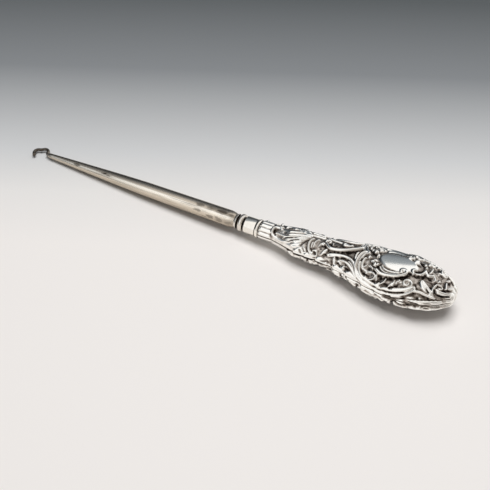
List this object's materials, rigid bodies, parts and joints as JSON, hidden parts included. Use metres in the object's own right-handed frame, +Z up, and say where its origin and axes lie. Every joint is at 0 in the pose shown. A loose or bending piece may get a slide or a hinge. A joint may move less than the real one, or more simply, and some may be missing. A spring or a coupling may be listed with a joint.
{
  "type": "button hook",
  "caption": "Hand tool that pulls buttons through buttonholes: a small hook on a long tapered steel shank, set in a filled handle of stamped scrollwork sheet metal.",
  "frame": {"origin": "middle of the box round the tool, on the surface that the handle lies on", "axes": "+X along the tool to the butt of the handle, +Z up through the front panel of the handle; the hook bends in the XY plane"},
  "size_m": [0.185, 0.0224, 0.0142],
  "materials": {
    "old_steel": "ground steel, worn and tarnished brown in spots",
    "silver_plain": "polished silver, softly worn",
    "silver_relief": "stamped silver, polished on the high places and dark in the hollows",
    "solder": "hard silver solder, filed back",
    "pitch_cement": "dark brown pitch and brick dust"
  },
  "bodies": {
    "root": {"hook_shank": "old_steel", "hook_bend": "old_steel", "ferrule_band": "silver_plain", "bead_ring": "silver_plain", "front_shell": "silver_relief", "back_shell": "silver_relief", "seam_solder": "solder", "cement_core": "pitch_cement"}
  },
  "joints": []
}
